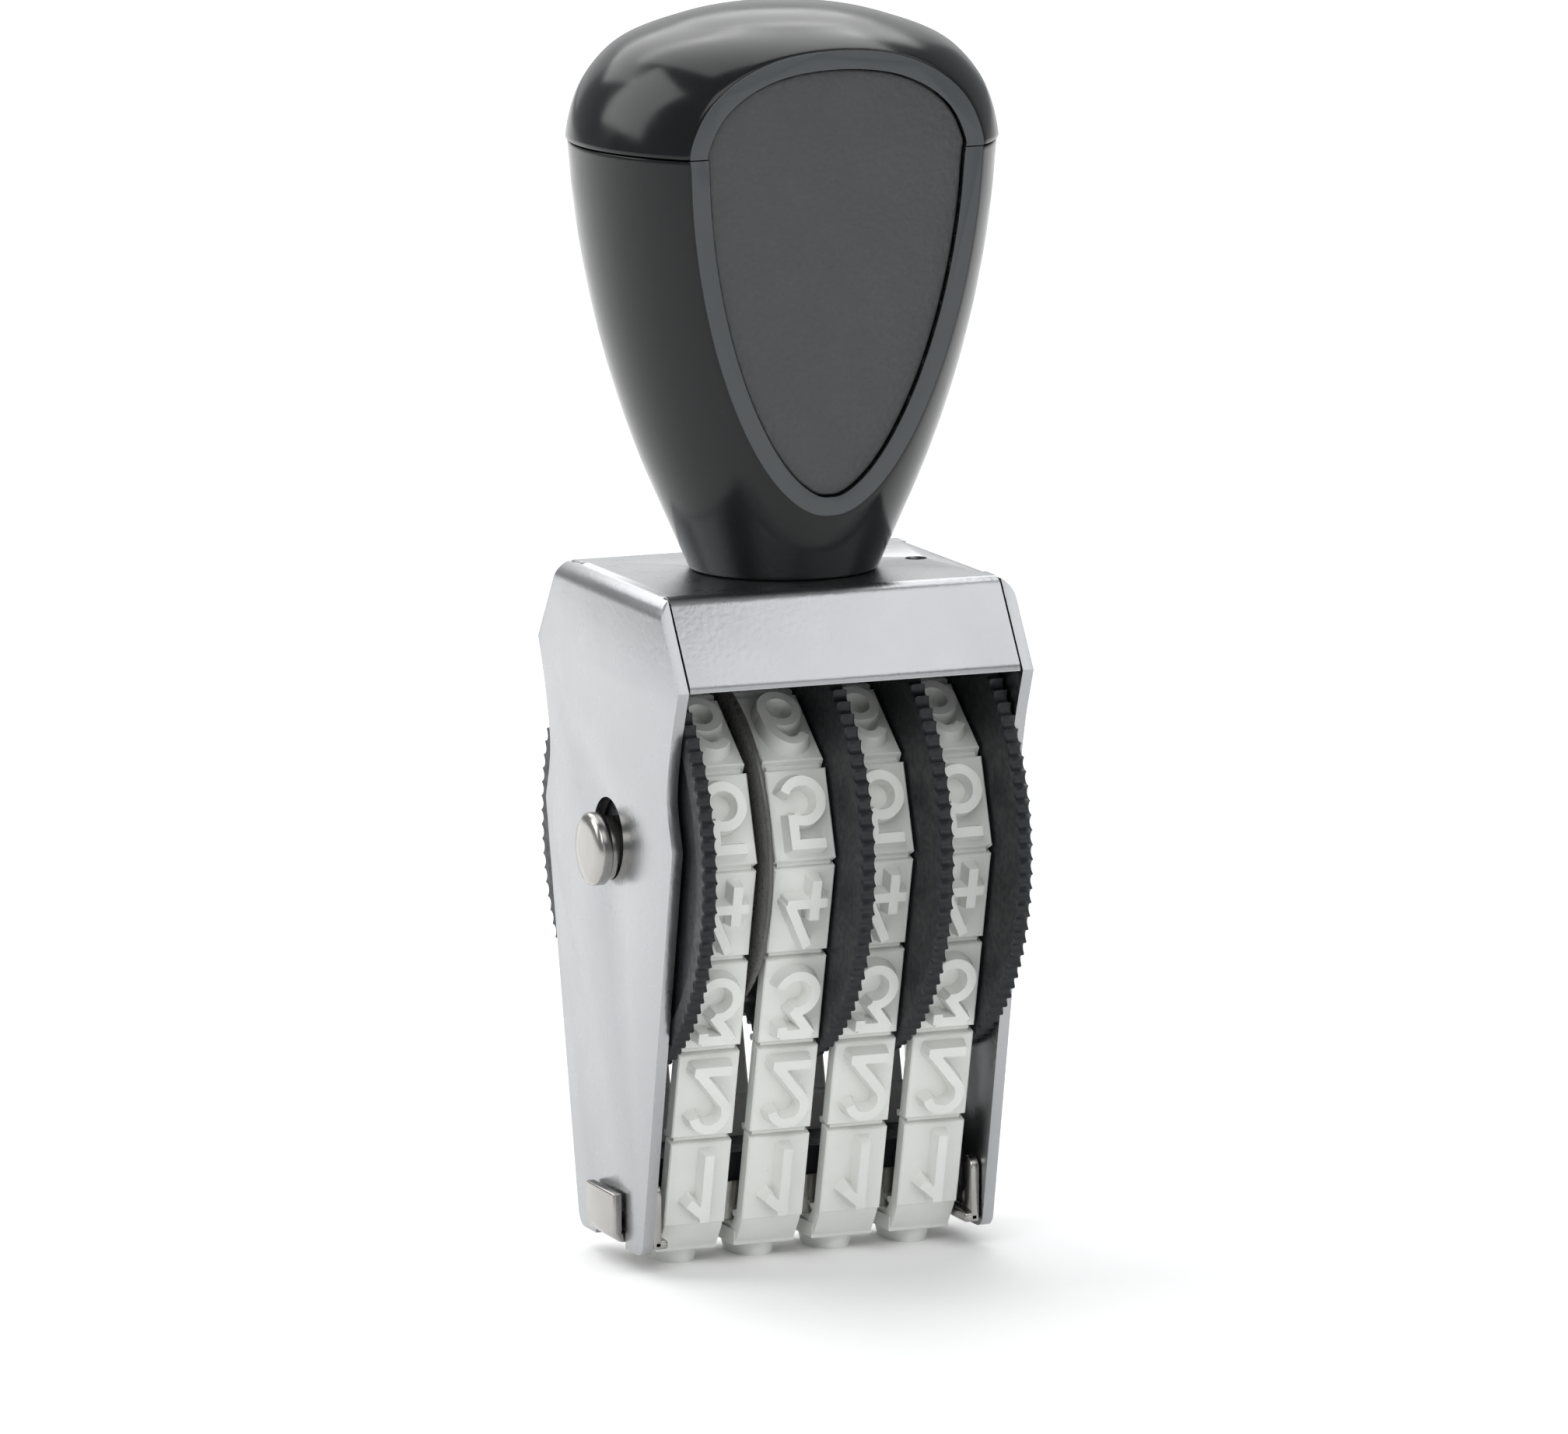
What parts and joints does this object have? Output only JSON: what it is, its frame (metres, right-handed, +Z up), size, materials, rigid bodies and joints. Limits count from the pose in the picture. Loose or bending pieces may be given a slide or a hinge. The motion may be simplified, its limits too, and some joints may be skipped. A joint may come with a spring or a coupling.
{
  "type": "hand numbering stamp",
  "caption": "Hand stamp with endless character bands turned by knurled thumb wheels in a bent metal frame, under a tall moulded handle with a teardrop plaque.",
  "frame": {"origin": "on the printing plane, midway between the side plates and straight below the axle", "axes": "+Z up along the handle, +X along the axle, -Y is the front"},
  "size_m": [0.0524, 0.0552, 0.1532],
  "materials": {
    "plated_steel": "satin nickel plating, faint orange peel",
    "bright_steel": "bright zinc plating",
    "band_rubber": "matt light grey rubber",
    "wheel_plastic": "matt black moulded plastic",
    "disc_plastic": "translucent grey plastic",
    "handle_plastic": "glossy black moulded plastic",
    "badge_plastic": "fine leather-grain moulding",
    "brass": "turned brass"
  },
  "bodies": {
    "stamp": {"frame_shell": "plated_steel", "axle": "bright_steel", "anvil_channel": "bright_steel", "anvil_core": "wheel_plastic", "handle_body": "handle_plastic", "handle_cap": "handle_plastic", "front_badge": "badge_plastic", "rear_badge": "badge_plastic", "handle_boss": "brass", "handle_screw": "bright_steel", "screw_washer": "bright_steel", "band_1": "band_rubber", "band_2": "band_rubber", "band_3": "band_rubber", "band_4": "band_rubber"},
    "wheel_1": {"thumb_wheel_1": "wheel_plastic"},
    "wheel_2": {"thumb_wheel_2": "wheel_plastic"},
    "wheel_3": {"thumb_wheel_3": "wheel_plastic"},
    "wheel_4": {"thumb_wheel_4": "wheel_plastic"},
    "separator": {"separator_disc": "disc_plastic"}
  },
  "joints": [
    {"name": "wheel_1_spin", "type": "hinge", "parent": "stamp", "child": "wheel_1", "pos_m": [-0.0161, 0, 0.0512], "axis": [1, 0, 0], "continuous": true},
    {"name": "wheel_2_spin", "type": "hinge", "parent": "stamp", "child": "wheel_2", "pos_m": [-0.0044, 0, 0.0512], "axis": [1, 0, 0], "continuous": true},
    {"name": "wheel_3_spin", "type": "hinge", "parent": "stamp", "child": "wheel_3", "pos_m": [0.006, 0, 0.0512], "axis": [1, 0, 0], "continuous": true},
    {"name": "wheel_4_spin", "type": "hinge", "parent": "stamp", "child": "wheel_4", "pos_m": [0.0163, 0, 0.0512], "axis": [1, 0, 0], "continuous": true},
    {"name": "separator_disc_spin", "type": "hinge", "parent": "stamp", "child": "separator", "pos_m": [-0.0102, 0, 0.0512], "axis": [1, 0, 0], "continuous": true}
  ]
}
